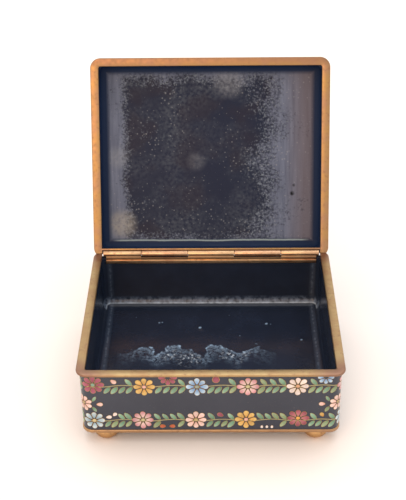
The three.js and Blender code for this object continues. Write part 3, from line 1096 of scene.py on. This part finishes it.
# %% A stem, as a gilt ribbon with a thinner line of green glass on it
def stem(start, end, height_at, wall):
    count = max(int((end - start) / BEND_STEP), 2)
    for width, top, colour, layer in (
        (0.46, METAL_TOP - 0.02, GILT, "wires"),
        (0.2, METAL_TOP - 0.005, STEM_GREEN, "cells"),
    ):
        ribbon = bmesh.new()
        bmesh.ops.create_grid(ribbon, x_segments=count, y_segments=1, size=0.5)
        bmesh.ops.scale(ribbon, vec=(end - start, width, 1), verts=ribbon.verts)
        bmesh.ops.translate(ribbon, vec=((start + end) / 2, 0, 0), verts=ribbon.verts)
        tablet(ribbon, top)
        for corner in ribbon.verts:
            s, up, out = corner.co
            corner.co = wall(s, up + height_at(s), out)
        take(ribbon, [colour] * len(ribbon.verts), layer, wall)


# %% [markdown]
# ## Setting out the garlands
#
# Two garlands run round the tray, above and below a plain band. Flowers stand about 22 mm
# apart. Between them a thin stem waves, with leaves that all lean one way and a bud or half
# a flower at the edge. The front follows the real box flower by flower, and the other walls
# go on in the same rhythm.

# %% Flowers of the two rows, round the box: place, height and colour
UPPER = [(-50.3, 26.8, "red"), (-28.4, 25.6, "yellow"), (-5.8, 25.6, "blue"),
         (15.9, 25.6, "pink"), (37.2, 25.8, "cream"), (59.0, 25.6, "pink")]
LOWER = [(-50.7, 7.0, "sky"), (-29.5, 7.2, "pink"), (-6.5, 7.2, "rose"),
         (15.3, 7.4, "yellow"), (37.8, 8.0, "wine"), (59.0, 7.2, "sky")]
ROUND_THE_BACK = 13


def all_round(front, names, height):
    first, last = front[-1][0], front[0][0] + AROUND
    pitch = (last - first) / (ROUND_THE_BACK + 1)
    return front + [
        (first + pitch * (number + 1), height, names[number % len(names)])
        for number in range(ROUND_THE_BACK)
    ]


upper_row = all_round(UPPER, ["yellow", "blue", "red", "cream"], 25.7)
lower_row = all_round(LOWER, ["pink", "yellow", "rose", "wine"], 7.2)
print(len(upper_row) + len(lower_row), "flowers in two rows")

# %% One stretch between two flowers
LEAN_UP = 128  # degrees
LEAN_DOWN = 232
FLOWER_REACH = 4.6
FIRST_LEAF = 0.75  # in spaces between leaves
LEAF_MIDDLE = 1.4  # from its root, along the stem
LEAF_ROOT = 0.35  # from the middle of the stem


def stretch(start, end, height, wall, above, below, taken=(), size=1.0):
    """above and below are how many leaves stand on each side of the stem, and taken says
    where a bud is in the way: the side, its place and how far it reaches."""
    room = end - start - 2 * FLOWER_REACH * size
    for count, lean, side in ((above, LEAN_UP, 1), (below, LEAN_DOWN, -1)):
        for number in range(count):
            s = start + FLOWER_REACH * size + room * ((number + FIRST_LEAF) / count) + 0.4
            middle = s - LEAF_MIDDLE
            if all(on != side or abs(middle - place) >= reach for on, place, reach in taken):
                leaf((s, height + side * LEAF_ROOT), lean, size, wall)


def wavy(height, pitch, swing_by=0.45):
    return lambda s: height + swing_by * math.sin(2 * math.pi * s / pitch)


# %% Leaves and stems of the tray
UPPER_TAKEN = [(1, -42.0, 3.5), (1, -18.2, 4.3), (1, 2.3, 2.9), (1, 49.0, 4.0)]
LOWER_TAKEN = [
    (1, -43.9, 3.3), (1, 4.0, 2.9), (1, 48.1, 2.4), (-1, -18.9, 3.6), (-1, 24.4, 3.9)
]
OUT_OF_SIGHT = range(5, 18)  # flowers with a plain bud after them
BUD_OFFSET = 10.9  # from the flower to the bud's root
BUD_MIDDLE = 1.1
BUD_REACH = 2.9
for number in OUT_OF_SIGHT:
    for row, side, taken in ((upper_row, 1, UPPER_TAKEN), (lower_row, -1, LOWER_TAKEN)):
        taken.append((side, row[number][0] + BUD_OFFSET - BUD_MIDDLE, BUD_REACH))
ROWS = (  # flowers, the stem's height, leaves above it, what is in the way
    (upper_row, 26.0, [3], UPPER_TAKEN),
    (lower_row, 7.0, [4, 4, 3, 4, 3], LOWER_TAKEN),
)
LEAVES_BELOW = 4
for row, height, counts, taken in ROWS:
    stem(0, AROUND, wavy(height, AROUND / len(row)), on_body_wall)
for row, height, counts, taken in ROWS:
    places = [s for s, up, name in row]
    for number, (start, end) in enumerate(zip(places, places[1:] + [places[0] + AROUND])):
        above = counts[number % len(counts)]
        stretch(start, end, height, on_body_wall, above, LEAVES_BELOW, taken)

# %% Flowers of the tray
for s, up, name in upper_row + lower_row:
    flower((s, up), name)

# %% Buds and half flowers along the front's edges
EDGES = [  # place, height, colour, size, and lean, or None for half a flower
    (-42.6, 29.4, "rose", 1.0, -38), (-18.2, 30.6, "red", 0.82, None),
    (2.3, 32.0, "red", 1.45, -90), (49.0, 30.6, "blue", 0.75, None),
    (-45.6, 8.6, "white", 0.9, 10), (-42.4, 9.4, "white", 0.8, 50),
    (-19.6, 3.6, "orange", 0.9, 180), (-18.2, 3.6, "orange", 0.9, 0),
    (5.4, 9.3, "red", 1.0, 150), (22.2, 4.0, "white", 0.55, -90),
    (24.4, 4.0, "white", 0.55, -90), (26.6, 4.0, "white", 0.55, -90),
    (48.8, 8.9, "yellow", 0.85, 120),
]
for s, up, name, size, lean in EDGES:
    if lean is None:
        flower((s, up), name, size, first=0, shown=LOWER_HALF)
    else:
        bud((s, up), lean, name, size)

# %% Buds round the rest of the tray
for number in OUT_OF_SIGHT:
    for row, height, side in ((upper_row, 29.6, 1), (lower_row, 3.4, -1)):
        name = dice.choice(["red", "rose", "blue", "yellow", "white"])
        bud((row[number][0] + BUD_OFFSET, height), 180 + 35 * side, name, 0.85)

# %% The flower on each corner, with a bud to each side
for place in CORNERS:
    flower((place, 16.3), "rose", 0.86, first=22)
    bud((place - 5.9, 16.0), 180, "rose", 0.95)
    bud((place + 5.9, 16.0), 0, "rose", 0.95)
    for side in (-1, 1):
        for up, way in ((17.6, 1), (14.6, -1)):
            leaf((place + side * 4.2, up), way * (90 - side * 30), 0.7)

# %% One garland on the lid's wall
LID_ROW = 18
LID_NAMES = ["pink", "yellow", "cream", "blue", "red", "rose"]
LID_STEM = 4.8
lid_pitch = AROUND / LID_ROW
places = [lid_pitch * (number + 0.5) for number in range(LID_ROW)]
stem(0, AROUND, wavy(LID_STEM, lid_pitch, 0.3), on_lid_wall)
for s in places:
    stretch(s, s + lid_pitch, LID_STEM, on_lid_wall, 3, 3, size=0.86)
for number, s in enumerate(places):
    flower((s, LID_STEM), LID_NAMES[number % len(LID_NAMES)], 0.82, on_lid_wall)

# %% A border on the lid's top
BORDER_X = WALL_ACROSS / 2 - LID_SHOULDER - 6.5
BORDER_Y = WALL_ALONG / 2 - LID_SHOULDER - 6.5
for side in (-1, 1):
    lines = (  # wall, half length, height, the wave's pitch, leaves on each side
        (on_lid_top, BORDER_X, side * BORDER_Y, 21.9, 3),
        (up_lid_top, BORDER_Y, -side * BORDER_X, 17.3, 2),
    )
    for wall, half, height, pitch, count in lines:
        stem(-half, half, wavy(height, pitch, 0.4), wall)
    for number in range(4):
        for wall, half, height, pitch, count in lines:
            start = -half + number * half / 2
            stretch(start, start + half / 2, height, wall, count, count)
for number in range(5):
    for side in (-1, 1):
        x = -BORDER_X + number * BORDER_X / 2
        name = LID_NAMES[(number + side) % len(LID_NAMES)]
        flower((x, side * BORDER_Y), name, wall=on_lid_top)
        if 0 < number < 4:
            y = -BORDER_Y + number * BORDER_Y / 2
            name = LID_NAMES[(number + 2 + side) % len(LID_NAMES)]
            flower((side * BORDER_X, y), name, wall=on_lid_top)

# %% The spray in the middle
SPRAY = [(0, 0, "pink", 1.15), (-12, 5, "yellow", 0.9), (11.5, -5.8, "blue", 0.9),
         (-10.5, -8.6, "cream", 0.85), (10, 8, "red", 0.85)]


def curved(x):
    return 0.3 * x - 0.0009 * x ** 3


stem(-20, 20, curved, on_lid_top)
for x in (-19, -16, -6.2, 8.8, 16.5, 19.5):
    leaf((x, curved(x) + 0.4), LEAN_UP, wall=on_lid_top)
    leaf((x, curved(x) - 0.4), LEAN_DOWN, wall=on_lid_top)
for x, y, name, size in SPRAY:
    flower((x, y), name, size, on_lid_top)

# %% [markdown]
# ## Coloured glass and gilt wire
#
# The glass in the cells is opaque and was ground level with the wires, so it is smooth and
# a little soft in its gloss. Its colour comes from the mesh: each cell carries its own
# shades, from its heart to its tip, and fine noise adds the cloudiness of fused powder.

# %% Cell glass and gilt wire
def cell_glass(name, body):
    material, node, closed = new_material(name, body)
    powder = node(NOISE, closed, 1 / 0.7, 3)
    strength = node(RANGE, powder, 0.3, 0.7, 0.86, 1.1)
    cloudy = node("VectorMath.SCALE", node("Attribute", attribute_name="glass"), strength)
    bump = node("Bump", named={"Strength": 0.2, "Distance": 0.02 * MM, "Height": powder})
    surface(node, bump, {"Base Color": cloudy, "Roughness": 0.25, "IOR": 1.5})
    return material


def gilt_wire(name, body):
    material, node, closed = new_material(name, body)
    tone = node(MIX, node(NOISE, closed, 1 / 4, 3), "#8f7446", "#c9a25a")
    surface(node, None, {"Base Color": tone, "Metallic": 1.0, "Roughness": 0.35})
    return material


# %% The garlands become pieces
for part, body in PARTS:
    glass = cell_glass("cloisonne_glass_" + part, body)
    gilt = gilt_wire("gilt_wire_" + part, body)
    coats = ((glass, "black_enamel"), (gilt, "rim_brass"))
    for layer, (material, slot) in zip(LAYERS, coats):
        whole, colours = garlands[part + layer]
        mesh = as_mesh(whole, material)
        shades = mesh.color_attributes.new("glass", "FLOAT_COLOR", "POINT")
        shades.data.foreach_set("color", [value for colour in colours for value in colour])
        piece(f"{part}_{layer}", mesh, body)

# %% [markdown]
# ## Table and light
#
# The box stands on a plain pale table in a light tent, whose pale walls the enamel mirrors.
# A broad cool lamp stands high behind the box, so that a soft shadow falls forwards, and a
# warm one in front on the left wakes the brass.

# %% Table
table_shape = bmesh.new()
bmesh.ops.create_grid(table_shape, x_segments=1, y_segments=1, size=4)
table_paint = bpy.data.materials.new("pale_table_paint")
table_paint.use_nodes = True
paint = table_paint.node_tree.nodes["Principled BSDF"]
paint.inputs["Base Color"].default_value = linear("#f6eee7")
paint.inputs["Roughness"].default_value = 0.7
table = placed("table", as_mesh(table_shape, table_paint))

# %% Light
world = bpy.data.worlds.new("light_tent")
world.use_nodes = True
tent = world.node_tree.nodes["Background"]
tent.inputs["Color"].default_value = linear("#f6f3f2")
tent.inputs["Strength"].default_value = 1.2
bpy.context.scene.world = world


def lamp(name, place, aim, size, power, shade):
    light = bpy.data.lights.new(name, "AREA")
    light.shape = "RECTANGLE"
    light.size, light.size_y = size
    light.energy = power
    light.color = linear(shade)[:3]
    thing = placed(name, light)
    thing.location = place
    direction = Vector(aim) - Vector(place)
    thing.rotation_euler = direction.to_track_quat("-Z", "Y").to_euler()


lamp("top_light", (0.1, 0.5, 1.5), (0, 0, 0), (1.6, 1.2), 9, "#f4f8ff")
lamp("front_light", (-0.5, -1.3, 0.9), (0, 0, 0.05), (1.0, 0.8), 8, "#ffcb98")

# %% Camera
EYE = Vector((0.00336, -0.43011, 0.34042))  # from the middle of the underside
PITCH = 0.5701  # downwards
YAW = -0.0153
ROLL = -0.0126
view = bpy.data.cameras.new("camera")
view.lens = 83.17
view.sensor_width = 36
camera = placed("camera", view)
aim = (
    Matrix.Rotation(-YAW, 4, "Z")
    @ Matrix.Rotation(math.pi / 2 - PITCH, 4, "X")
    @ Matrix.Rotation(ROLL, 4, "Z")
)
camera.matrix_world = Matrix.Translation(underside + EYE) @ aim
bpy.context.scene.camera = camera
bpy.context.scene.view_settings.view_transform = "Standard"
print("camera at", camera.matrix_world.translation)
